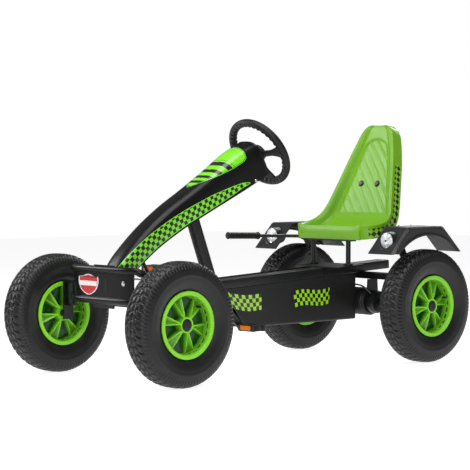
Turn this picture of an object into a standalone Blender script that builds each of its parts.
"""Pedal go kart: frame, steering, pedals, chain drive, seat and wheels, each piece its own solid.

World frame, metres: +X is the rider's left, -Y is forward, +Z is up. The origin lies on the ground
midway between the axles. Pieces that move carry their origin on their own joint axis.
"""
import math

import bmesh
import bpy
from mathutils import Matrix, Vector

# ---------------------------------------------------------------- driving dimensions (metres)
WHEELBASE = 1.144          # front axle to rear axle
HALF_TRACK = 0.318         # centre plane to the middle of a tyre
TYRE_R = 0.200
TYRE_W = 0.100
RIM_SEAT_R = 0.098         # where the tyre bead sits
RIM_LIP_R = 0.108
RIM_W = 0.084
HUB_R = 0.026
HUB_W = 0.070
WHEEL_SIDES = 24

TOUCH = 0.0003             # gap between pieces that touch
RUN = 0.0005               # running clearance round pins and shafts

RAIL_W = 0.030
RAIL_H = 0.032
RAIL_WALL = 0.002
RAIL_GAP = 0.002           # between the two rails of the beam
RAIL_Z = 0.2966            # beam centre line above the origin
RAIL_RISE = 0.0496         # rise of the beam per metre towards the back
RAIL_FRONT = -0.546
RAIL_REAR = 0.694

AXLE_TUBE = 0.025          # square front axle tube
AXLE_Z = 0.262
PIVOT_PIN_R = 0.008
KINGPIN_X = 0.235
KINGPIN_R = 0.008
SLEEVE_R = 0.0165
SLEEVE_LOW = 0.235
SLEEVE_HIGH = 0.305
YOKE_T = 0.006             # knuckle plate thickness
STEER_ARM = 0.110          # kingpin to tie rod pin
STUB_R = 0.010
TIE_ROD_R = 0.006
TIE_EYE_R = 0.011
TIE_PIN_R = 0.005
TIE_EYE_H = 0.018
TIE_INNER_X = 0.0175       # inner end of a tie rod

BRACKET_T = 0.006
BRACKET_HALF_W = 0.050
BRACKET_BACK = -0.500
BRACKET_LEG_LOW = 0.236
BRACKET_LEG_HIGH = 0.376
BRACKET_FRONT = -0.625

BUMPER_R = 0.012
BUMPER_HALF_W = 0.138
BUMPER_DEPTH = 0.047
BUMPER_BEND = 0.036
BUMPER_HIGH_Z = 0.362
BUMPER_LOW_Z = 0.262
BUMPER_PLATE_T = 0.003

WHEEL_CENTRE = (0.067, 0.743)      # steering wheel centre, Y and Z
COLUMN_TILT = math.radians(32.0)   # column slope below the horizontal
STEER_RING_R = 0.118
STEER_GRIP_R = 0.0145
STEER_HUB_R = 0.030
STEER_HUB_T = 0.030
COLUMN_R = 0.008
COLUMN_END_Y = -0.535
DROP_ARM_Y = -0.475
DROP_ARM = 0.100
DROP_ARM_T = 0.006
DROP_BALL_R = 0.009

FAIRING_T = 0.003
FAIRING_BASE_HALF_W = 0.044
FAIRING_TOP_HALF_W = 0.062
FAIRING_TOP_LINE = [(-0.6160, 0.2950), (-0.5960, 0.3600), (-0.5500, 0.4180), (-0.4650, 0.4940),
                    (-0.3720, 0.5600), (-0.2750, 0.6170), (-0.1780, 0.6760), (-0.0800, 0.7400),
                    (0.0000, 0.7780)]
FAIRING_LOW_LINE = [(-0.5480, 0.2950), (-0.5400, 0.3380), (-0.5010, 0.3750), (-0.4250, 0.4300),
                    (-0.3280, 0.4850), (-0.2250, 0.5340), (-0.1250, 0.5800), (-0.0350, 0.6220),
                    (0.0560, 0.6680)]

STRUT_W = 0.030
STRUT_D = 0.040
STRUT_FOOT_Y = -0.163
STRUT_LEAN = math.radians(21.0)

CRANK_Y = -0.195
CRANK_SHELL_R = 0.0225
CRANK_SHELL_HALF_W = 0.030
CRANK_AXLE_R = 0.008
CRANK_LEN = 0.145
CRANK_ANGLE = math.radians(-43.0)  # left arm, from straight back, up positive
CRANK_ARM_X = 0.074
CRANK_ARM_T = 0.010
CRANK_ARM_W = 0.024
CHAIN_X = -0.050
CHAINRING_R = 0.062
SPROCKET_R = 0.031
CHAINRING_T = 0.003
CHAIN_W = 0.008
CHAIN_H = 0.008
CHAIN_CLEAR = 0.0006
PEDAL_W = 0.074
PEDAL_L = 0.058
PEDAL_T = 0.024
PEDAL_X = 0.128
SPINDLE_R = 0.006

CASE_T = 0.003
CASE_RIGHT_X = -0.067
CASE_LOW_Z = 0.138
CASE_FRONT_LOW_Y = -0.024
CASE_FRONT_HIGH_Y = -0.130
CASE_BACK_Y = 0.400
REAR_CASE_BACK_Y = 0.516

CROSS_Y = 0.572
CROSS_H = 0.025
CROSS_HALF_W = 0.228
REAR_AXLE_R = 0.0125
AXLE_BORE_R = REAR_AXLE_R + RUN * 1.6
BEARING_R = 0.024
BEARING_W = 0.014
HANGER_T = 0.006
HANGER_X = (0.215, 0.062, -0.215)
DRUM_R = 0.050
DRUM_RIGHT_X = -0.036
BRAKE_R = 0.042
BRAKE_LEFT_X = 0.104

GUARD_INNER_X = 0.234
GUARD_OUTER_X = 0.352
GUARD_T = 0.003
GUARD_LINE = [(0.368, 0.389), (0.456, 0.481), (0.635, 0.481), (0.732, 0.389)]
GUARD_ARCH_HALF = 0.155
GUARD_ARCH_RISE = 0.063
LAMP_R = 0.031
LAMP_X = 0.2905
LAMP_Z = 0.434
LAMP_FRONT_Y = 0.397
LAMP_DEPTH = 0.055
LENS_T = 0.006

SEAT_T = 0.004
SEAT_FLANGE_W = 0.020
SEAT_WALL_RUN = 0.022      # how far the bucket's wall runs inwards from the flange
SEAT_POST_X = 0.0875
SEAT_POST_R = 0.009
SEAT_POST_Y = 0.414
SEAT_POST_BACK = 0.006    # posts stand this far behind the middle of the carriage
SEAT_FOOT_R = 0.018
SEAT_FOOT_T = 0.005
SEAT_BASE_Z = 0.4300
CARRIAGE_HALF_W = 0.108
CARRIAGE_T = 0.004
CARRIAGE_LEN = 0.130
CARRIAGE_LIP = 0.020
CROSS_BAR_T = 0.005
CROSS_BAR_W = 0.031

LEVER_X = -0.214
LEVER_R = 0.006
LEVER_PIN_R = 0.004
LEVER_EYE_R = 0.012
LEVER_BEND = 0.020         # radius of the lever's bends
LEVER_PIVOT = (0.530, 0.385)
LEVER_ROUTE = [(0.530, 0.385), (0.508, 0.418), (0.470, 0.4330), (0.262, 0.4400)]
GRIP_R = 0.013
GRIP_START_Y = 0.262
GRIP_END_Y = 0.110
GRIP_RISE = 0.0045
CABLE_R = 0.003

REAR_Y = WHEELBASE / 2
FRONT_Y = -WHEELBASE / 2
SIDES = (("left", 1), ("right", -1))

# ---------------------------------------------------------------- scene and collections
for old in list(bpy.data.objects):
    bpy.data.objects.remove(old, do_unlink=True)

KART = bpy.data.collections.new("pedal_go_kart")
CUTTERS = bpy.data.collections.new("cutters")
bpy.context.scene.collection.children.link(KART)
bpy.context.scene.collection.children.link(CUTTERS)


def finish_material(name, colour, roughness, metallic=0.0):
    """A Principled material with one base colour."""
    material = bpy.data.materials.new(name)
    material.use_nodes = True
    shader = material.node_tree.nodes["Principled BSDF"]
    shader.inputs["Base Color"].default_value = (*colour, 1.0)
    shader.inputs["Roughness"].default_value = roughness
    shader.inputs["Metallic"].default_value = metallic
    return material


BLACK_PAINT = finish_material("black_powder_coat", (0.012, 0.012, 0.013), 0.35)
BLACK_PLASTIC = finish_material("black_plastic", (0.018, 0.018, 0.019), 0.5)
RUBBER = finish_material("tyre_rubber", (0.022, 0.022, 0.022), 0.85)
LIME = finish_material("lime_rim", (0.13, 0.75, 0.02), 0.3)
SEAT_GREEN = finish_material("green_seat", (0.16, 0.42, 0.01), 0.35)
STEEL = finish_material("zinc_steel", (0.55, 0.55, 0.56), 0.35, 1.0)
LENS = finish_material("lamp_lens", (0.85, 0.86, 0.88), 0.12)


# ---------------------------------------------------------------- helpers
def add(name, mesh, material, collection=KART):
    """A new object in a collection, shaded smooth where faces meet at a low angle."""
    obj = bpy.data.objects.new(name, mesh)
    collection.objects.link(obj)
    if material is not None:
        mesh.materials.clear()
        mesh.materials.append(material)
    return obj


def shade(obj):
    """Smooth shading with sharp edges above 35 degrees."""
    obj.data.shade_smooth()
    obj.data.set_sharp_from_angle(angle=math.radians(35))


def mesh_from(bm, name):
    """A mesh with the contents of a bmesh, faces turned outwards."""
    bmesh.ops.recalc_face_normals(bm, faces=bm.faces)
    mesh = bpy.data.meshes.new(name)
    bm.to_mesh(mesh)
    bm.free()
    return mesh


def place(obj, location, pitch=0.0):
    """Put an object at a point, turned about X by the pitch."""
    obj.location = location
    obj.rotation_euler = (pitch, 0.0, 0.0)
    return obj


def box(name, low, high, material, collection=KART, origin=(0, 0, 0)):
    """A block between two corners given from its origin."""
    bm = bmesh.new()
    size = Vector(high) - Vector(low)
    centre = (Vector(high) + Vector(low)) / 2
    bmesh.ops.create_cube(bm, size=1.0, matrix=Matrix.Translation(centre) @ Matrix.Diagonal((*size, 1)))
    obj = add(name, mesh_from(bm, name), material, collection)
    obj.location = origin
    return obj


def rod(name, start, end, radius, material, sides=16, collection=KART, origin=(0, 0, 0)):
    """A round bar between two points given from its origin, with a flat on its lowest side."""
    start, end = Vector(start), Vector(end)
    along = end - start
    turn = along.to_track_quat("Z", "Y").to_matrix().to_4x4()
    half = Matrix.Rotation(math.pi / sides, 4, "Z")
    bm = bmesh.new()
    bmesh.ops.create_cone(bm, cap_ends=True, segments=sides, radius1=radius, radius2=radius,
                          depth=along.length,
                          matrix=Matrix.Translation((start + end) / 2) @ turn @ half)
    obj = add(name, mesh_from(bm, name), material, collection)
    obj.location = origin
    shade(obj)
    return obj


def turned(name, profile, material, centre, sides=WHEEL_SIDES):
    """A turned piece on an axis along X: a closed profile of (radius, x) run round by a Screw."""
    half = math.pi / sides
    points = [(r * math.cos(half), r * math.sin(half), x) for r, x in profile]
    edges = [(i, (i + 1) % len(points)) for i in range(len(points))]
    mesh = bpy.data.meshes.new(name)
    mesh.from_pydata(points, edges, [])
    obj = add(name, mesh, material)
    obj.location = centre
    obj.rotation_euler = (0, math.radians(90), 0)
    screw = obj.modifiers.new("turn", "SCREW")
    screw.axis = "Z"
    screw.steps = sides
    screw.render_steps = sides
    screw.use_merge_vertices = True
    screw.merge_threshold = 0.00005
    screw.use_smooth_shade = False
    return obj


def outline(name, points, x_low, x_high, material, collection=KART, origin=(0, 0, 0), holes=()):
    """A flat outline of (y, z) points, with round holes (y, z, radius), extruded along X."""
    curve = bpy.data.curves.new(name, "CURVE")
    curve.dimensions = "2D"
    curve.fill_mode = "BOTH"
    curve.extrude = (x_high - x_low) / 2
    loops = [list(points)]
    for y, z, radius in holes:
        turns = [math.tau * (k + 0.5) / 16 for k in range(16)]
        loops.append([(y + radius * math.cos(a), z + radius * math.sin(a)) for a in turns])
    for loop in loops:
        spline = curve.splines.new("POLY")
        spline.points.add(len(loop) - 1)
        for point, (y, z) in zip(spline.points, loop):
            point.co = (y, z, 0, 1)
        spline.use_cyclic_u = True
    # local x, y, z of the curve become world Y, Z, X
    swing = Matrix(((0, 0, 1, (x_low + x_high) / 2), (1, 0, 0, 0), (0, 1, 0, 0), (0, 0, 0, 1)))
    return to_mesh(name, curve, material, collection, swing, origin)


def bar(name, points, radius, material, sides_step=2, collection=KART, origin=(0, 0, 0)):
    """A round bar along a smooth list of points."""
    curve = bpy.data.curves.new(name, "CURVE")
    curve.dimensions = "3D"
    curve.bevel_depth = radius
    curve.bevel_resolution = sides_step
    curve.use_fill_caps = True
    spline = curve.splines.new("POLY")
    spline.points.add(len(points) - 1)
    for point, place_at in zip(spline.points, points):
        point.co = (*place_at, 1)
    obj = to_mesh(name, curve, material, collection, Matrix.Identity(4), origin)
    shade(obj)
    return obj


def to_mesh(name, curve, material, collection, matrix, origin):
    """The mesh of a curve, welded, with its own matrix applied."""
    carrier = bpy.data.objects.new(name + "_curve", curve)
    bpy.context.scene.collection.objects.link(carrier)
    graph = bpy.context.evaluated_depsgraph_get()
    graph.update()
    mesh = bpy.data.meshes.new_from_object(carrier.evaluated_get(graph))
    bpy.data.objects.remove(carrier, do_unlink=True)
    bpy.data.curves.remove(curve)
    mesh.name = name
    bm = bmesh.new()
    bm.from_mesh(mesh)
    bmesh.ops.remove_doubles(bm, verts=bm.verts, dist=0.00001)
    bmesh.ops.transform(bm, matrix=matrix, verts=bm.verts)
    bmesh.ops.recalc_face_normals(bm, faces=bm.faces)
    bm.to_mesh(mesh)
    bm.free()
    obj = add(name, mesh, material, collection)
    obj.location = origin
    return obj


def boolean(obj, other, operation):
    """Join or cut an object with another one that is kept with the cutters."""
    for holder in list(other.users_collection):
        holder.objects.unlink(other)
    CUTTERS.objects.link(other)
    other.hide_render = True
    other.display_type = "WIRE"
    change = obj.modifiers.new(operation.lower(), "BOOLEAN")
    change.object = other
    change.operation = operation
    change.solver = "EXACT"
    return obj


def join(obj, *others):
    """One solid from several that overlap."""
    for other in others:
        boolean(obj, other, "UNION")
    return obj


def cut(obj, *others):
    """Holes and slots."""
    for other in others:
        boolean(obj, other, "DIFFERENCE")
    return obj


def rounded(points, radius, steps=4):
    """A route with its inner corners rounded by an arc of the given radius."""
    route = [Vector(points[0])]
    for before, corner, after in zip(points, points[1:], points[2:]):
        corner = Vector(corner)
        back = (Vector(before) - corner).normalized()
        ahead = (Vector(after) - corner).normalized()
        half_angle = back.angle(ahead) / 2
        reach = radius / math.tan(half_angle)
        centre = corner + (back + ahead).normalized() * (radius / math.sin(half_angle))
        first = corner + back * reach - centre
        last = corner + ahead * reach - centre
        for k in range(steps + 1):
            swing = first.normalized().slerp(last.normalized(), k / steps)
            route.append(centre + swing * radius)
    route.append(Vector(points[-1]))
    return route


def rail_z(y):
    """Height of the beam's centre line."""
    return RAIL_Z + RAIL_RISE * y


def rail_top(y):
    """Height of the beam's top face."""
    return rail_z(y) + RAIL_H / 2 * math.hypot(1, RAIL_RISE)


def rail_bottom(y):
    """Height of the beam's bottom face."""
    return rail_z(y) - RAIL_H / 2 * math.hypot(1, RAIL_RISE)


RAIL_PITCH = math.atan(RAIL_RISE)
BEAM_HALF_W = RAIL_W + RAIL_GAP / 2
CRANK_Z = rail_bottom(CRANK_Y) - TOUCH - CRANK_SHELL_R


# ---------------------------------------------------------------- main frame
def rails():
    """Two square tubes side by side, open at both ends."""
    length = (RAIL_REAR - RAIL_FRONT) / math.cos(RAIL_PITCH)
    middle_y = (RAIL_REAR + RAIL_FRONT) / 2
    for side, sign in SIDES:
        near = sign * RAIL_GAP / 2
        far = sign * (RAIL_GAP / 2 + RAIL_W)
        low_x, high_x = sorted((near, far))
        obj = box("main_rail_" + side, (low_x, -length / 2, -RAIL_H / 2), (high_x, length / 2, RAIL_H / 2),
                  BLACK_PAINT)
        bore = box("rail_bore_" + side, (low_x + RAIL_WALL, -length, -RAIL_H / 2 + RAIL_WALL),
                   (high_x - RAIL_WALL, length, RAIL_H / 2 - RAIL_WALL), None)
        place(obj, (0, middle_y, rail_z(middle_y)), RAIL_PITCH)
        place(bore, (0, middle_y, rail_z(middle_y)), RAIL_PITCH)
        cut(obj, bore)


def front_bracket():
    """Bent plate on the front of the beam: it holds the axle pivot, the bumper and the fairing."""
    top = rail_top(BRACKET_BACK) + TOUCH + BRACKET_T
    leg = BRACKET_T
    back_leg = RAIL_FRONT - RAIL_H / 2 * math.sin(RAIL_PITCH) - TOUCH
    points = [(BRACKET_BACK, top), (BRACKET_BACK, top - BRACKET_T), (back_leg, top - BRACKET_T),
              (back_leg, BRACKET_LEG_LOW), (back_leg - leg, BRACKET_LEG_LOW),
              (back_leg - leg, top - BRACKET_T), (BRACKET_FRONT + leg, top - BRACKET_T),
              (BRACKET_FRONT + leg, BRACKET_LEG_LOW), (BRACKET_FRONT, BRACKET_LEG_LOW),
              (BRACKET_FRONT, BRACKET_LEG_HIGH), (BRACKET_FRONT + leg, BRACKET_LEG_HIGH),
              (BRACKET_FRONT + leg, top)]
    outline("front_bracket", points, -BRACKET_HALF_W, BRACKET_HALF_W, BLACK_PAINT)
    rod("axle_pivot_pin", (0, back_leg - leg - TOUCH, AXLE_Z), (0, BRACKET_FRONT + leg + TOUCH, AXLE_Z),
        PIVOT_PIN_R, STEEL)
    return top


BRACKET_TOP = front_bracket()


def bumper():
    """Two bent tubes with a plate between them."""
    y = BRACKET_FRONT - TOUCH - BUMPER_R
    for name, z in (("bumper_upper_tube", BUMPER_HIGH_Z), ("bumper_lower_tube", BUMPER_LOW_Z)):
        corners = [(-BUMPER_HALF_W, y + BUMPER_DEPTH, z), (-BUMPER_HALF_W, y, z),
                   (BUMPER_HALF_W, y, z), (BUMPER_HALF_W, y + BUMPER_DEPTH, z)]
        bar(name, rounded(corners, BUMPER_BEND), BUMPER_R, BLACK_PAINT)
    low = BUMPER_LOW_Z + BUMPER_R + TOUCH
    high = BUMPER_HIGH_Z - BUMPER_R - TOUCH
    half = BUMPER_HALF_W - BUMPER_BEND
    box("bumper_plate", (-half, y - BUMPER_PLATE_T / 2, low), (half, y + BUMPER_PLATE_T / 2, high),
        BLACK_PAINT)


def smooth_line(points, count):
    """Evenly spaced samples of a Catmull-Rom curve through (y, z) points."""
    padded = [points[0], *points, points[-1]]
    samples = []
    for k in range(count):
        place_at = k / (count - 1) * (len(points) - 1)
        i = min(int(place_at), len(points) - 2)
        t = place_at - i
        a, b, c, d = (Vector(p) for p in padded[i:i + 4])
        samples.append(0.5 * (2 * b + (c - a) * t + (2 * a - 5 * b + 4 * c - d) * t ** 2
                              + (3 * b - a - 3 * c + d) * t ** 3))
    return samples


def fairing():
    """Arched cover over the steering column: an inverted U lofted from the foot to the wheel."""
    count = 12
    tops = smooth_line(FAIRING_TOP_LINE, count)
    lows = smooth_line(FAIRING_LOW_LINE, count)
    across = [(-1.0, 0.0), (-1.0, 0.55), (-0.90, 0.80), (-0.62, 0.955), (0.0, 1.0),
              (0.62, 0.955), (0.90, 0.80), (1.0, 0.55), (1.0, 0.0)]
    bm = bmesh.new()
    rows = []
    for k, (top, low) in enumerate(zip(tops, lows)):
        share = k / (count - 1)
        half = FAIRING_BASE_HALF_W + (FAIRING_TOP_HALF_W - FAIRING_BASE_HALF_W) * share
        row = []
        for side, rise in across:
            at = low + (top - low) * rise
            row.append(bm.verts.new((half * side, at.x, at.y)))
        rows.append(row)
    for row, following in zip(rows, rows[1:]):
        for j in range(len(across) - 1):
            bm.faces.new((row[j], row[j + 1], following[j + 1], following[j]))
    obj = add("fairing", mesh_from(bm, "fairing"), BLACK_PAINT)
    wall = obj.modifiers.new("wall", "SOLIDIFY")
    wall.thickness = FAIRING_T
    wall.offset = -1.0
    wall.use_even_offset = True
    shade(obj)
    return obj


def column_point(y):
    """The point of the steering column's axis at a given Y."""
    return Vector((0, y, WHEEL_CENTRE[1] + (y - WHEEL_CENTRE[0]) * math.tan(COLUMN_TILT)))


COLUMN_AXIS = Vector((0, -math.cos(COLUMN_TILT), -math.sin(COLUMN_TILT)))
COLUMN_DOWN = Vector((0, math.sin(COLUMN_TILT), -math.cos(COLUMN_TILT)))
COLUMN_ORIGIN = Vector((0, *WHEEL_CENTRE))


def strut():
    """Leaning tube from the beam up into the fairing, and the bearing on its top end."""
    foot_z = rail_top(STRUT_FOOT_Y - STRUT_D / 2) + 0.004
    lean = math.tan(STRUT_LEAN)
    half = STRUT_D / 2 / math.cos(STRUT_LEAN)
    bearing_y = STRUT_FOOT_Y - 0.098
    bearing = column_point(bearing_y)
    block = 0.014
    top_z = bearing.z - block - TOUCH
    foot = [(STRUT_FOOT_Y - half, rail_top(STRUT_FOOT_Y - half) + TOUCH),
            (STRUT_FOOT_Y + half, rail_top(STRUT_FOOT_Y + half) + TOUCH)]
    rise = top_z - foot_z
    top = [(STRUT_FOOT_Y + half - lean * rise, top_z), (STRUT_FOOT_Y - half - lean * rise, top_z)]
    outline("strut", [*foot, *top], -STRUT_W / 2, STRUT_W / 2, BLACK_PAINT)
    column_bearing("column_bearing_middle", bearing, block)


def column_bearing(name, centre, half):
    """A plastic block with a bore for the steering column."""
    block = box(name, (-half, -half, -half), (half, half, half), BLACK_PLASTIC, origin=centre)
    reach = COLUMN_AXIS * half * 3
    bore = rod(name + "_bore", -reach, reach, COLUMN_R + RUN, None, origin=centre)
    cut(block, bore)


def lower_column_post():
    """Post on the front bracket that carries the lower end of the column."""
    centre = column_point(COLUMN_END_Y + 0.012)
    half = 0.013
    post = box("column_bearing_lower", (-half, -half, BRACKET_TOP + TOUCH - centre.z), (half, half, half),
               BLACK_PAINT, origin=centre)
    reach = COLUMN_AXIS * half * 3
    bore = rod("column_bearing_lower_bore", -reach, reach, COLUMN_R + RUN, None, origin=centre)
    cut(post, bore)


def upper_column_bearing():
    """Plate across the open end of the fairing that carries the top of the column."""
    centre = column_point(-0.012)
    half = FAIRING_TOP_HALF_W - FAIRING_T - 0.0016
    plate = box("column_bearing_upper", (-half, -0.007, -0.014), (half, 0.007, 0.010), BLACK_PLASTIC)
    place(plate, centre, COLUMN_TILT)
    bore = rod("column_bearing_upper_bore", (0, -0.05, 0), (0, 0.05, 0), COLUMN_R + RUN, None)
    place(bore, centre, COLUMN_TILT)
    cut(plate, bore)


def chain_cases():
    """Folded plastic troughs under the beam, one long and one short behind it."""
    for name, front, back in (("chain_case", (CASE_FRONT_LOW_Y, CASE_FRONT_HIGH_Y), CASE_BACK_Y),
                              ("chain_case_rear", (CASE_BACK_Y + TOUCH,) * 2, REAR_CASE_BACK_Y)):
        low_front, high_front = front
        left = BEAM_HALF_W
        right = CASE_RIGHT_X
        bm = bmesh.new()
        gap = TOUCH

        def at(x, y, z):
            return bm.verts.new((x, y, z))

        left_top = [at(left, y, rail_bottom(y) - gap) for y in (high_front, back)]
        left_low = [at(left, low_front, CASE_LOW_Z), at(left, back, CASE_LOW_Z)]
        right_low = [at(right, low_front, CASE_LOW_Z), at(right, back, CASE_LOW_Z)]
        right_top = [at(right, high_front, rail_top(high_front)), at(right, back, rail_top(back))]
        bm.faces.new((left_low[0], left_low[1], left_top[1], left_top[0]))
        bm.faces.new((left_low[1], left_low[0], right_low[0], right_low[1]))
        bm.faces.new((right_low[1], right_low[0], right_top[0], right_top[1]))
        mesh = bpy.data.meshes.new(name)
        bm.to_mesh(mesh)
        bm.free()
        obj = add(name, mesh, BLACK_PLASTIC)
        wall = obj.modifiers.new("wall", "SOLIDIFY")
        wall.thickness = CASE_T
        wall.offset = -1.0
        wall.use_even_offset = True


rails()
bumper()
fairing()
strut()
lower_column_post()
upper_column_bearing()
chain_cases()


# ---------------------------------------------------------------- front axle and knuckles
def front_axle():
    """Square tube with a kingpin sleeve at each end, free to rock on the pivot pin."""
    half = AXLE_TUBE / 2
    centre = (0, FRONT_Y, AXLE_Z)
    axle = box("front_axle_beam", (-KINGPIN_X, -half, -half), (KINGPIN_X, half, half), BLACK_PAINT,
               origin=centre)
    for side, sign in SIDES:
        x = sign * KINGPIN_X
        sleeve = rod("kingpin_sleeve_" + side, (x, 0, SLEEVE_LOW - AXLE_Z), (x, 0, SLEEVE_HIGH - AXLE_Z),
                     SLEEVE_R, None, origin=centre)
        join(axle, sleeve)
    for side, sign in SIDES:
        x = sign * KINGPIN_X
        bore = rod("kingpin_bore_" + side, (x, 0, -0.1), (x, 0, 0.1), KINGPIN_R + RUN, None, origin=centre)
        cut(axle, bore)
    pivot = rod("axle_pivot_bore", (0, -0.1, 0), (0, 0.1, 0), PIVOT_PIN_R + RUN, None, origin=centre)
    cut(axle, pivot)


def knuckle(side, sign):
    """Yoke round the sleeve with kingpin, stub axle, steering arm and tie rod pin."""
    centre = (sign * KINGPIN_X, FRONT_Y, TYRE_R)
    low = SLEEVE_LOW - TYRE_R - TOUCH
    high = SLEEVE_HIGH - TYRE_R + TOUCH
    web_in = 0.0190
    web_out = web_in + YOKE_T
    eye_top = high + YOKE_T + TIE_EYE_H + 0.006

    def span(inner, outer):
        return (inner, outer) if sign > 0 else (-outer, -inner)

    x0, x1 = span(web_in, web_out)
    yoke = box("knuckle_" + side, (x0, -0.020, -0.018), (x1, 0.020, high + YOKE_T), BLACK_PAINT,
               origin=centre)
    x0, x1 = span(-0.012, web_out - 0.001)
    plate = box("yoke_low_" + side, (x0, -0.014, low - YOKE_T), (x1, 0.014, low), None, origin=centre)
    plate_high = box("yoke_high_" + side, (x0, -0.014, high), (x1, STEER_ARM + 0.010, high + YOKE_T - 0.0005),
                     None, origin=centre)
    kingpin = rod("kingpin_" + side, (0, 0, low - 0.003), (0, 0, high + 0.004), KINGPIN_R, None,
                  origin=centre)
    stub = rod("stub_" + side, (sign * (web_in + 0.002), 0, 0),
               (sign * (HALF_TRACK - KINGPIN_X + HUB_W / 2 - 0.004), 0, 0), STUB_R, None, origin=centre)
    tie_pin = rod("tie_pin_" + side, (0, STEER_ARM, high + 0.003), (0, STEER_ARM, eye_top), TIE_PIN_R,
                  None, origin=centre)
    join(yoke, plate, plate_high, kingpin, stub, tie_pin)


def tie_rod(side, sign):
    """Rod with an eye over the steering arm's pin; its inner end stops short of the drop arm."""
    z = SLEEVE_HIGH + TOUCH + YOKE_T + TOUCH + TIE_EYE_H / 2
    centre = (sign * KINGPIN_X, FRONT_Y + STEER_ARM, z)
    eye = rod("tie_rod_" + side, (0, 0, -TIE_EYE_H / 2), (0, 0, TIE_EYE_H / 2), TIE_EYE_R, STEEL,
              origin=centre)
    inner = Vector((sign * (TIE_INNER_X - KINGPIN_X), DROP_ARM_Y + DROP_ARM * COLUMN_DOWN.y
                    - FRONT_Y - STEER_ARM, 0))
    start = inner.normalized() * 0.008
    bar_piece = rod("tie_bar_" + side, start, inner, TIE_ROD_R, None, sides=12, origin=centre)
    hole = rod("tie_hole_" + side, (0, 0, -0.03), (0, 0, 0.03), TIE_PIN_R + RUN, None, origin=centre)
    join(eye, bar_piece)
    cut(eye, hole)


# ---------------------------------------------------------------- steering
def steering():
    """Grip ring, hub and spokes as one wheel; the column with its drop arm is a second piece."""
    frame = Matrix(((1, 0, 0), (0, -COLUMN_DOWN.y, -COLUMN_AXIS.y), (0, -COLUMN_DOWN.z, -COLUMN_AXIS.z)))
    turn = frame.to_4x4()

    def local(x, up, back):
        return turn @ Vector((x, up, back))

    major = 28
    minor = 8
    bm = bmesh.new()
    loops = []
    for i in range(major):
        angle = math.tau * (i + 0.5) / major
        loop = []
        for j in range(minor):
            inner = math.tau * (j + 0.5) / minor
            r = STEER_RING_R + STEER_GRIP_R * math.cos(inner)
            loop.append(bm.verts.new(local(r * math.cos(angle), r * math.sin(angle),
                                           STEER_GRIP_R * math.sin(inner))))
        loops.append(loop)
    for i in range(major):
        for j in range(minor):
            a, b = loops[i], loops[(i + 1) % major]
            k = (j + 1) % minor
            bm.faces.new((a[j], a[k], b[k], b[j]))
    ring = add("steering_wheel", mesh_from(bm, "steering_wheel"), BLACK_PLASTIC)
    ring.location = COLUMN_ORIGIN
    shade(ring)
    hub = rod("steering_hub", local(0, 0, -0.026), local(0, 0, STEER_HUB_T - 0.026), STEER_HUB_R, None,
              origin=COLUMN_ORIGIN)
    spokes = []
    for name, angle in (("left", 0.0), ("right", 180.0), ("low", 270.0)):
        a = math.radians(angle)
        bm = bmesh.new()
        reach = STEER_RING_R - 0.004
        near, far = 0.012, 0.010
        corners = []
        for distance, half, back in ((0.018, near, -0.012), (reach, far, 0.0)):
            for across, depth in ((-half, -0.006), (half, -0.006), (half, 0.006), (-half, 0.006)):
                x = distance * math.cos(a) - across * math.sin(a)
                up = distance * math.sin(a) + across * math.cos(a)
                corners.append(bm.verts.new(local(x, up, back + depth)))
        bm.faces.new(corners[0:4])
        bm.faces.new(corners[4:8])
        for k in range(4):
            after = (k + 1) % 4
            bm.faces.new((corners[k], corners[after], corners[4 + after], corners[4 + k]))
        spoke = add("spoke_" + name, mesh_from(bm, "spoke_" + name), None)
        spoke.location = COLUMN_ORIGIN
        spokes.append(spoke)
    join(ring, hub, *spokes)

    start = COLUMN_AXIS * (0.026 + TOUCH)
    end = column_point(COLUMN_END_Y) - COLUMN_ORIGIN
    column = rod("steering_column", start, end, COLUMN_R, STEEL, origin=COLUMN_ORIGIN)
    root = column_point(DROP_ARM_Y) - COLUMN_ORIGIN
    tip = root + COLUMN_DOWN * DROP_ARM
    arm = rod("drop_arm_bar", root, tip, DROP_ARM_T, None, sides=12, origin=COLUMN_ORIGIN)
    collar = rod("drop_arm_collar", root - COLUMN_AXIS * 0.010, root + COLUMN_AXIS * 0.010, 0.014, None,
                 origin=COLUMN_ORIGIN)
    ball = rod("drop_arm_ball", tip - COLUMN_DOWN * 0.009, tip + COLUMN_DOWN * 0.009, DROP_BALL_R, None,
               sides=12, origin=COLUMN_ORIGIN)
    join(column, collar, arm, ball)


front_axle()
for side_name, side_sign in SIDES:
    knuckle(side_name, side_sign)
    tie_rod(side_name, side_sign)
steering()


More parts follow.
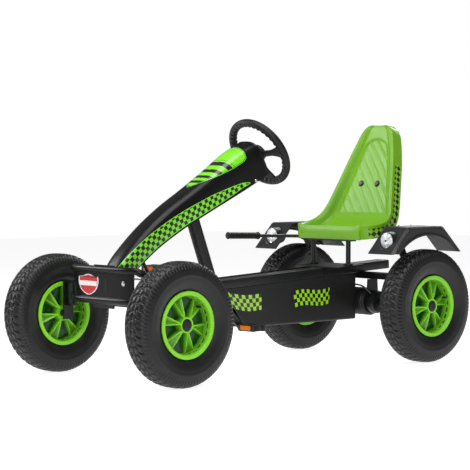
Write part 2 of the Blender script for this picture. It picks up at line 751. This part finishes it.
# ---------------------------------------------------------------- wheels
def wheel(name, x, y, sign, bore):
    """A tyre and a rim with flanges, dished web and hub, both turned on the axle line."""
    flat = math.cos(math.pi / WHEEL_SIDES)
    outer = TYRE_R / flat
    half = TYRE_W / 2
    seat = RIM_W / 2 - 0.006
    bead = RIM_SEAT_R + TOUCH
    bead_half = seat - TOUCH * 2
    tyre = [(outer, 0.022), (outer, -0.022), (outer - 0.012, -0.042), (0.163, -half), (0.140, -half),
            (RIM_LIP_R + 0.0015, -bead_half), (bead, -bead_half), (bead, bead_half),
            (RIM_LIP_R + 0.0015, bead_half), (0.140, half), (0.163, half), (outer - 0.012, 0.042)]
    tyre = [(r, sign * s) for r, s in tyre]
    rim_half = RIM_W / 2
    hub_half = HUB_W / 2
    lip_in = RIM_LIP_R - 0.012
    web = 0.010
    rim = [(RIM_LIP_R, rim_half), (RIM_LIP_R, seat + 0.001), (RIM_SEAT_R, seat), (RIM_SEAT_R, -seat),
           (RIM_LIP_R, -seat - 0.001), (RIM_LIP_R, -rim_half), (lip_in, -rim_half),
           (lip_in - 0.008, -web), (HUB_R, -web), (HUB_R, -hub_half), (bore, -hub_half),
           (bore, hub_half), (HUB_R, hub_half), (HUB_R, web), (lip_in - 0.008, web), (lip_in, rim_half)]
    centre = (x, y, TYRE_R)
    turned(name + "_tyre", tyre if sign > 0 else tyre[::-1], RUBBER, centre)
    turned(name + "_rim", rim, LIME, centre)


for side_name, side_sign in SIDES:
    wheel("front_wheel_" + side_name, side_sign * HALF_TRACK, FRONT_Y, side_sign, STUB_R + RUN * 2)
    wheel("rear_wheel_" + side_name, side_sign * HALF_TRACK, REAR_Y, side_sign, REAR_AXLE_R + RUN * 2)


# ---------------------------------------------------------------- rear end
def rear_frame():
    """Cross tube under the beam, hangers with bearings for the axle, drive and brake housings."""
    top = rail_bottom(CROSS_Y - CROSS_H / 2) - TOUCH
    half = CROSS_H / 2
    box("rear_cross_tube", (-CROSS_HALF_W, CROSS_Y - half, top - CROSS_H),
        (CROSS_HALF_W, CROSS_Y + half, top), BLACK_PAINT)
    under = top - CROSS_H - TOUCH
    for name, x in zip(("left", "middle", "right"), HANGER_X):
        low = TYRE_R - 0.030
        plate = [(REAR_Y - 0.024, under), (REAR_Y - 0.030, TYRE_R), (REAR_Y - 0.020, low),
                 (REAR_Y + 0.020, low), (REAR_Y + 0.030, TYRE_R), (REAR_Y + 0.024, under)]
        outline("axle_hanger_" + name, plate, x - HANGER_T / 2, x + HANGER_T / 2, BLACK_PAINT,
                holes=[(REAR_Y, TYRE_R, AXLE_BORE_R)])
    for side, sign in SIDES:
        x = sign * HANGER_X[0] + sign * (HANGER_T / 2 + TOUCH + BEARING_W / 2)
        ring(f"axle_bearing_{side}", x, BEARING_W, BEARING_R, AXLE_BORE_R, STEEL)
    drum_left = HANGER_X[1] - HANGER_T / 2 - TOUCH
    brake_right = HANGER_X[1] + HANGER_T / 2 + TOUCH
    ring("drive_housing", (drum_left + DRUM_RIGHT_X) / 2, drum_left - DRUM_RIGHT_X, DRUM_R, AXLE_BORE_R,
         BLACK_PLASTIC)
    ring("brake_housing", (BRAKE_LEFT_X + brake_right) / 2, BRAKE_LEFT_X - brake_right, BRAKE_R,
         AXLE_BORE_R, BLACK_PAINT)


def ring(name, x, width, radius, bore, material):
    """A thick-walled ring on the rear axle line with chamfered rims."""
    half = width / 2
    chamfer = radius * 0.12
    profile = [(radius, half - chamfer), (radius, chamfer - half), (radius - chamfer, -half),
               (bore, -half), (bore, half), (radius - chamfer, half)]
    turned(name, profile, material, (x, REAR_Y, TYRE_R), sides=20)


def rear_axle():
    """Solid axle with the chain sprocket."""
    right = -HALF_TRACK - HUB_W / 2 + 0.004
    left = HALF_TRACK + HUB_W / 2 - 0.004
    centre = (0, REAR_Y, TYRE_R)
    axle = rod("rear_axle", (right, 0, 0), (left, 0, 0), REAR_AXLE_R, STEEL, sides=20, origin=centre)
    half = CHAINRING_T / 2
    sprocket = rod("rear_sprocket", (CHAIN_X - half, 0, 0), (CHAIN_X + half, 0, 0), SPROCKET_R, None,
                   sides=24, origin=centre)
    join(axle, sprocket)


def mudguard(side, sign):
    """Folded sheet over the wheel with an outer side panel cut to an arch, lamp hole in front."""
    inner, outer = sign * GUARD_INNER_X, sign * GUARD_OUTER_X
    bm = bmesh.new()
    inside = [bm.verts.new((inner, y, z)) for y, z in GUARD_LINE]
    outside = [bm.verts.new((outer, y, z)) for y, z in GUARD_LINE]
    for k in range(3):
        bm.faces.new((inside[k], inside[k + 1], outside[k + 1], outside[k]))
    base = GUARD_LINE[0][1]
    middle = (GUARD_LINE[0][0] + GUARD_LINE[3][0]) / 2
    radius = (GUARD_ARCH_HALF ** 2 + GUARD_ARCH_RISE ** 2) / (2 * GUARD_ARCH_RISE)
    sweep = math.asin(GUARD_ARCH_HALF / radius)
    arch = []
    steps = 8
    for k in range(steps + 1):
        angle = -sweep + 2 * sweep * k / steps
        arch.append((middle + radius * math.sin(angle),
                     base + GUARD_ARCH_RISE - radius + radius * math.cos(angle)))
    lower = [bm.verts.new((outer, y, z)) for y, z in arch]
    bm.faces.new((outside[0], lower[0], lower[1], lower[2], outside[1]))
    bm.faces.new((outside[1], *lower[2:7], outside[2]))
    bm.faces.new((outside[2], lower[6], lower[7], lower[8], outside[3]))
    mesh = mesh_from(bm, "mudguard_" + side)
    obj = add("mudguard_" + side, mesh, BLACK_PLASTIC)
    wall = obj.modifiers.new("wall", "SOLIDIFY")
    wall.thickness = GUARD_T
    wall.offset = -1.0
    wall.use_even_offset = True
    hole = rod("lamp_hole_" + side, (sign * LAMP_X, LAMP_FRONT_Y - 0.02, LAMP_Z),
               (sign * LAMP_X, LAMP_FRONT_Y + 0.10, LAMP_Z), LAMP_R + TOUCH, None, sides=20)
    cut(obj, hole)


def lamp(side, sign):
    """Round lamp body through the mudguard's front face, with a lens over its mouth."""
    x = sign * LAMP_X
    front = LAMP_FRONT_Y
    rod("lamp_body_" + side, (x, front + LENS_T + TOUCH, LAMP_Z), (x, front + LAMP_DEPTH, LAMP_Z), LAMP_R,
        BLACK_PLASTIC, sides=20)
    rod("lamp_lens_" + side, (x, front, LAMP_Z), (x, front + LENS_T, LAMP_Z), LAMP_R - 0.002, LENS,
        sides=20)


def guard_bracket(side, sign):
    """Flat bar from the end of the cross tube up to the underside of the mudguard."""
    tube_top = rail_bottom(CROSS_Y - CROSS_H / 2) - TOUCH
    roof = GUARD_LINE[1][1] - GUARD_T - TOUCH
    points = [(CROSS_Y + 0.011, tube_top - CROSS_H), (CROSS_Y - 0.011, tube_top - CROSS_H),
              (CROSS_Y - 0.011, tube_top + 0.03), (0.490, roof - 0.03), (0.490, roof),
              (0.520, roof), (CROSS_Y + 0.011, tube_top + 0.05)]
    start = CROSS_HALF_W + TOUCH
    x_low, x_high = sorted((sign * start, sign * (start + 0.004)))
    bar_piece = outline("mudguard_bracket_" + side, points, x_low, x_high, BLACK_PAINT)
    shelf = sorted((sign * (start + 0.001), sign * (GUARD_INNER_X + 0.020)))
    tab = box("guard_tab_" + side, (shelf[0], 0.490, roof - 0.004), (shelf[1], 0.520, roof), None)
    join(bar_piece, tab)


rear_frame()
rear_axle()
for side_name, side_sign in SIDES:
    mudguard(side_name, side_sign)
    lamp(side_name, side_sign)
    guard_bracket(side_name, side_sign)


# ---------------------------------------------------------------- pedals and chain
def crank():
    """Shell under the beam, and the crankset turning in it."""
    shell = rod("crank_shell", (-CRANK_SHELL_HALF_W, CRANK_Y, CRANK_Z),
                (CRANK_SHELL_HALF_W, CRANK_Y, CRANK_Z), CRANK_SHELL_R, BLACK_PAINT)
    bore = rod("crank_bore", (-0.1, CRANK_Y, CRANK_Z), (0.1, CRANK_Y, CRANK_Z), CRANK_AXLE_R + RUN, None)
    cut(shell, bore)
    centre = Vector((0, CRANK_Y, CRANK_Z))
    arm_half = CRANK_ARM_T / 2
    direction = Vector((0, math.cos(CRANK_ANGLE), math.sin(CRANK_ANGLE)))
    reach = CRANK_ARM_X + arm_half - 0.001
    axle = rod("crankset", (-reach, 0, 0), (reach, 0, 0), CRANK_AXLE_R, STEEL, origin=centre)
    ring_half = CHAINRING_T / 2
    chainring = rod("chainring_disc", (CHAIN_X - ring_half, 0, 0), (CHAIN_X + ring_half, 0, 0),
                    CHAINRING_R, None, sides=32, origin=centre)
    pieces = [chainring]
    for side, sign in SIDES:
        along = direction * sign
        x = sign * CRANK_ARM_X
        block = box("crank_arm_" + side, (x - arm_half, -0.014, -CRANK_ARM_W / 2),
                    (x + arm_half, CRANK_LEN + 0.012, CRANK_ARM_W / 2), None)
        place(block, centre, CRANK_ANGLE + (0 if sign > 0 else math.pi))
        tip = along * CRANK_LEN
        outer = sign * (PEDAL_X + PEDAL_W / 2 + 0.002)
        spindle = rod("spindle_" + side, (x, tip.y, tip.z), (outer, tip.y, tip.z), SPINDLE_R, None,
                      sides=12, origin=centre)
        pieces += [block, spindle]
    join(axle, *pieces)
    for side, sign in SIDES:
        tip = centre + direction * sign * CRANK_LEN
        origin = (sign * PEDAL_X, tip.y, tip.z)
        body = box("pedal_" + side, (-PEDAL_W / 2, -PEDAL_L / 2, -PEDAL_T / 2),
                   (PEDAL_W / 2, PEDAL_L / 2, PEDAL_T / 2), BLACK_PLASTIC, origin=origin)
        hole = rod("pedal_bore_" + side, (-0.1, 0, 0), (0.1, 0, 0), SPINDLE_R + RUN, None, sides=12,
                   origin=origin)
        cut(body, hole)


def chain():
    """Closed band round the chainring and the sprocket."""
    front = Vector((CRANK_Y, CRANK_Z))
    back = Vector((REAR_Y, TYRE_R))
    along = (back - front).normalized()
    heading = math.atan2(along.y, along.x)
    clear = CHAIN_CLEAR
    loops = []
    for extra in (CHAIN_H, 0.0):
        big = CHAINRING_R + clear + extra
        small = SPROCKET_R + clear + extra
        lean = math.asin((big - small) / (back - front).length)
        loop = []
        for centre, radius, first, last in (
                (front, big, heading + math.pi / 2 - lean, heading + 1.5 * math.pi + lean),
                (back, small, heading - math.pi / 2 + lean, heading + math.pi / 2 - lean)):
            steps = 10
            true_radius = radius / math.cos((last - first) / steps / 2)
            for k in range(steps + 1):
                angle = first + (last - first) * k / steps
                use = true_radius if 0 < k < steps else radius
                loop.append((centre.x + use * math.cos(angle), centre.y + use * math.sin(angle)))
        loops.append(loop)
    band = outline("chain", loops[0], CHAIN_X - CHAIN_W / 2, CHAIN_X + CHAIN_W / 2, STEEL)
    inside = outline("chain_inside", loops[1], CHAIN_X - CHAIN_W, CHAIN_X + CHAIN_W, None)
    cut(band, inside)


crank()
chain()


# ---------------------------------------------------------------- seat
SEAT_SIDE = [  # flange of the seat: y, z, half width, depth of the bucket, depth of the skirt
    (0.412, 0.482, 0.180, 0.004, 0.050), (0.455, 0.485, 0.188, 0.020, 0.048),
    (0.490, 0.490, 0.189, 0.027, 0.046), (0.520, 0.500, 0.185, 0.030, 0.045),
    (0.545, 0.520, 0.175, 0.030, 0.043), (0.562, 0.550, 0.163, 0.027, 0.042),
    (0.580, 0.595, 0.148, 0.024, 0.041), (0.603, 0.655, 0.128, 0.021, 0.040),
    (0.627, 0.720, 0.106, 0.018, 0.038), (0.648, 0.780, 0.081, 0.012, 0.036),
    (0.660, 0.815, 0.062, 0.007, 0.035), (0.668, 0.836, 0.044, 0.003, 0.034)]


def seat():
    """Moulded bucket: a basin inside a raised flange, with a skirt turned down all round."""
    bm = bmesh.new()
    rows = []
    flat = [Vector((y, z)) for y, z, *_ in SEAT_SIDE]
    for k, (y, z, half, bucket, skirt) in enumerate(SEAT_SIDE):
        before, after = flat[max(k - 1, 0)], flat[min(k + 1, len(flat) - 1)]
        run = (after - before).normalized()
        behind = Vector((run.y, -run.x))
        inside = half - SEAT_FLANGE_W
        basin = inside - min(SEAT_WALL_RUN, inside * 0.4)
        right_half = ((half, skirt), (half, 0.003), (half - 0.004, 0.0), (inside, 0.0),
                      (basin, bucket * 0.8), (basin * 0.45, bucket))
        across = [*((-x, depth) for x, depth in right_half), *reversed(right_half)]
        row = []
        for x, depth in across:
            at = Vector((y, z)) + behind * depth
            row.append((x, at.x, at.y))
        rows.append(row)
    run = (flat[-1] - flat[-2]).normalized()
    behind = Vector((run.y, -run.x))
    top = flat[-1] + behind * SEAT_SIDE[-1][4]
    last = [(x, top.x, top.y) for x, _, _ in rows[-1]]
    # the front skirt drops straight down to the height of the cross bar
    front_y, front_z = SEAT_SIDE[0][:2]
    rows[0] = [(x, y_at, min(z_at, front_z)) for x, y_at, z_at in rows[0]]
    front_row = [(x, front_y, SEAT_BASE_Z) for x, _, _ in rows[0]]
    rows[0][0] = front_row[0]
    rows[0][-1] = front_row[-1]
    grid = []
    for row in (front_row, *rows, last):
        grid.append([bm.verts.new(point) for point in row])
    for a, b in zip(grid, grid[1:]):
        for j in range(len(a) - 1):
            bm.faces.new((a[j], a[j + 1], b[j + 1], b[j]))
    bmesh.ops.remove_doubles(bm, verts=bm.verts, dist=0.0001)
    bmesh.ops.dissolve_degenerate(bm, edges=bm.edges, dist=0.0001)
    bmesh.ops.recalc_face_normals(bm, faces=bm.faces)
    mesh = bpy.data.meshes.new("seat_shell")
    bm.to_mesh(mesh)
    bm.free()
    obj = add("seat_shell", mesh, SEAT_GREEN)
    wall = obj.modifiers.new("wall", "SOLIDIFY")
    wall.thickness = SEAT_T
    wall.offset = -1.0
    shade(obj)
    return obj


def seat_frame():
    """Sliding carriage on the beam, two posts with feet, and a cross bar under the bucket."""
    half_len = CARRIAGE_LEN / 2
    middle = Vector((0, SEAT_POST_Y, rail_z(SEAT_POST_Y)))
    top = RAIL_H / 2 + TOUCH
    inner = BEAM_HALF_W + TOUCH
    plate = box("seat_carriage", (-CARRIAGE_HALF_W, -half_len, top),
                (CARRIAGE_HALF_W, half_len, top + CARRIAGE_T), BLACK_PAINT)
    place(plate, middle, RAIL_PITCH)
    for side, sign in SIDES:
        x0, x1 = sorted((sign * inner, sign * (inner + CARRIAGE_T)))
        lip = box("carriage_lip_" + side, (x0, -half_len + 0.005, top - CARRIAGE_LIP),
                  (x1, half_len - 0.005, top + CARRIAGE_T / 2), None)
        place(lip, middle, RAIL_PITCH)
        join(plate, lip)
    post_y = SEAT_POST_Y + SEAT_POST_BACK
    bar_top = SEAT_BASE_Z - TOUCH
    bar_low = bar_top - CROSS_BAR_T
    box("seat_cross_bar", (-CARRIAGE_HALF_W, post_y - 0.011, bar_low),
        (CARRIAGE_HALF_W, post_y + CROSS_BAR_W - 0.011, bar_top), BLACK_PAINT)
    for side, sign in SIDES:
        x = sign * SEAT_POST_X
        low = rail_top(post_y + SEAT_FOOT_R) + CARRIAGE_T + TOUCH * 2
        post = rod("seat_post_" + side, (x, post_y, low), (x, post_y, bar_low - TOUCH), SEAT_POST_R,
                   BLACK_PAINT)
        foot = rod("seat_foot_" + side, (x, post_y, low), (x, post_y, low + SEAT_FOOT_T), SEAT_FOOT_R, None)
        join(post, foot)


seat()
seat_frame()


# ---------------------------------------------------------------- hand brake
def hand_brake():
    """Bracket on the cross tube, pivoted lever with its grip, and the cable to the brake."""
    pivot_y, pivot_z = LEVER_PIVOT
    tube_top = rail_bottom(CROSS_Y - CROSS_H / 2) - TOUCH
    inner = LEVER_X + LEVER_R + TOUCH * 2
    plate = [(CROSS_Y + 0.012, tube_top + TOUCH), (CROSS_Y - 0.024, tube_top + TOUCH),
             (pivot_y - 0.016, pivot_z), (pivot_y, pivot_z + 0.016), (pivot_y + 0.016, pivot_z)]
    bracket = outline("handbrake_bracket", plate, inner, inner + 0.005, BLACK_PAINT)
    pin = rod("handbrake_pin", (LEVER_X - LEVER_R - 0.006, pivot_y, pivot_z),
              (inner + 0.003, pivot_y, pivot_z), LEVER_PIN_R, None)
    join(bracket, pin)
    route = [(LEVER_X, y, z) for y, z in LEVER_ROUTE]
    pivot = Vector((0, pivot_y, pivot_z))
    lever = bar("handbrake_lever", [p - pivot for p in rounded(route, LEVER_BEND, 3)], LEVER_R, STEEL,
                origin=pivot)
    eye = rod("lever_eye", (LEVER_X - LEVER_R, 0, 0), (LEVER_X + LEVER_R, 0, 0), LEVER_EYE_R, None,
              origin=(0, pivot_y, pivot_z))
    hole = rod("lever_hole", (LEVER_X - 0.03, 0, 0), (LEVER_X + 0.03, 0, 0), LEVER_PIN_R + RUN, None,
               origin=(0, pivot_y, pivot_z))
    join(lever, eye)
    cut(lever, hole)
    start_z = LEVER_ROUTE[-1][1]
    rod("handbrake_grip", (LEVER_X, GRIP_START_Y - TOUCH, start_z),
        (LEVER_X, GRIP_END_Y, start_z + GRIP_RISE), GRIP_R, BLACK_PLASTIC)


def brake_cable():
    """Outer cable from the lever's bracket down and across to the brake housing."""
    plate_face = LEVER_X + LEVER_R + TOUCH * 2 + 0.005
    route = [(plate_face + CABLE_R + TOUCH, 0.545, 0.362), (-0.198, 0.505, 0.374), (-0.186, 0.478, 0.350),
             (-0.150, 0.508, 0.300), (-0.100, 0.536, 0.270), (-0.030, 0.537, 0.262), (0.030, 0.530, 0.262),
             (0.072, 0.521, 0.254), (0.086, 0.539, 0.233)]
    samples = []
    padded = [route[0], *route, route[-1]]
    for i in range(len(route) - 1):
        a, b, c, d = (Vector(p) for p in padded[i:i + 4])
        for k in range(3):
            t = k / 3
            samples.append(0.5 * (2 * b + (c - a) * t + (2 * a - 5 * b + 4 * c - d) * t ** 2
                                  + (3 * b - a - 3 * c + d) * t ** 3))
    samples.append(Vector(route[-1]))
    bar("brake_cable", samples, CABLE_R, BLACK_PLASTIC, sides_step=1)


hand_brake()
brake_cable()
